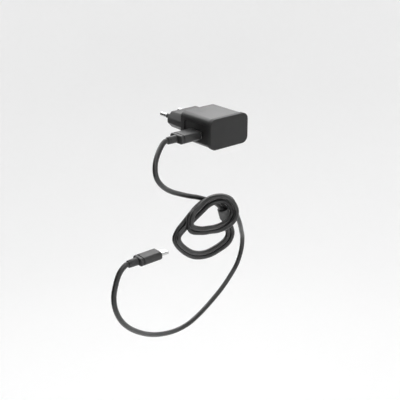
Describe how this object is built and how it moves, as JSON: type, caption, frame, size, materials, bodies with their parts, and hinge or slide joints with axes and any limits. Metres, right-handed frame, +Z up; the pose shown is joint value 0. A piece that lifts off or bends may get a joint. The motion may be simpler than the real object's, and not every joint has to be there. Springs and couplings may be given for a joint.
{
  "type": "usb wall charger",
  "caption": "Black USB wall charger, a rounded box on a flat two-pin plug, with its loosely coiled USB cable plugged into the side.",
  "frame": {"origin": "middle of the plug face, where the two pins leave the neck", "axes": "+Y along the pins into the wall, +Z up, +X to the right of someone facing the charger"},
  "size_m": [0.1801, 0.0948, 0.196],
  "materials": {
    "housing_plastic": "satin black",
    "cover_plastic": "fine satin black",
    "neck_plastic": "satin black",
    "panel_plastic": "fine matt black",
    "pin_nickel": "nickel plate",
    "sleeve_plastic": "matt black",
    "spring_bronze": "bright bronze",
    "usb_steel": "bright steel",
    "tongue_plastic": "white",
    "contact_gold": "gold plate",
    "plug_rubber": "soft satin black",
    "cord_jacket": "satin black",
    "tie_strap": "black hook and loop",
    "board_green": "green solder mask",
    "insulation_film": "pale film",
    "ferrite": "dark ferrite",
    "bobbin_plastic": "dark phenolic",
    "winding_tape": "yellow tape",
    "capacitor_film": "dark blue film",
    "output_film": "dark green film",
    "resistor_body": "blue green lacquer",
    "chip_epoxy": "black epoxy",
    "safety_blue": "blue epoxy"
  },
  "bodies": {
    "charger": {"main_housing": "housing_plastic", "front_cover": "cover_plastic", "port_panel": "panel_plastic", "plug_neck": "neck_plastic", "pin_left": "pin_nickel", "pin_right": "pin_nickel", "pin_sleeve_left": "sleeve_plastic", "pin_sleeve_right": "sleeve_plastic", "contact_spring_left": "spring_bronze", "contact_spring_right": "spring_bronze", "main_board": "board_green", "port_board": "board_green", "insulation_sheet": "insulation_film", "transformer_core_lower": "ferrite", "transformer_core_upper": "ferrite", "transformer_bobbin": "bobbin_plastic", "transformer_winding": "winding_tape", "bulk_capacitor_left": "capacitor_film", "bulk_capacitor_right": "capacitor_film", "output_capacitor": "output_film", "fusible_resistor": "resistor_body", "rectifier_diode": "chip_epoxy", "input_choke": "ferrite", "safety_capacitor": "safety_blue", "bridge_rectifier": "chip_epoxy", "controller_chip": "chip_epoxy", "optocoupler": "chip_epoxy", "usb_port_shell": "usb_steel", "usb_port_tongue": "tongue_plastic", "usb_port_contact_1": "contact_gold", "usb_port_contact_2": "contact_gold", "usb_port_contact_3": "contact_gold", "usb_port_contact_4": "contact_gold"},
    "cable": {"usb_plug_shell": "usb_steel", "usb_plug_tongue": "tongue_plastic", "usb_plug_contact_1": "contact_gold", "usb_plug_contact_2": "contact_gold", "usb_plug_contact_3": "contact_gold", "usb_plug_contact_4": "contact_gold", "usb_plug_grip": "plug_rubber", "usb_plug_strain_relief": "plug_rubber", "cord_lead_in": "cord_jacket", "cord_coil": "cord_jacket", "cable_tie": "tie_strap", "cord_tail": "cord_jacket", "far_plug_strain_relief": "plug_rubber", "far_plug_grip": "plug_rubber", "far_plug_shell": "usb_steel", "far_plug_tongue": "tongue_plastic"}
  },
  "joints": [
    {"name": "usb_plug_pull", "type": "slide", "parent": "charger", "child": "cable", "axis": [-1, 0, 0], "range_m": [0, 0.02]}
  ]
}
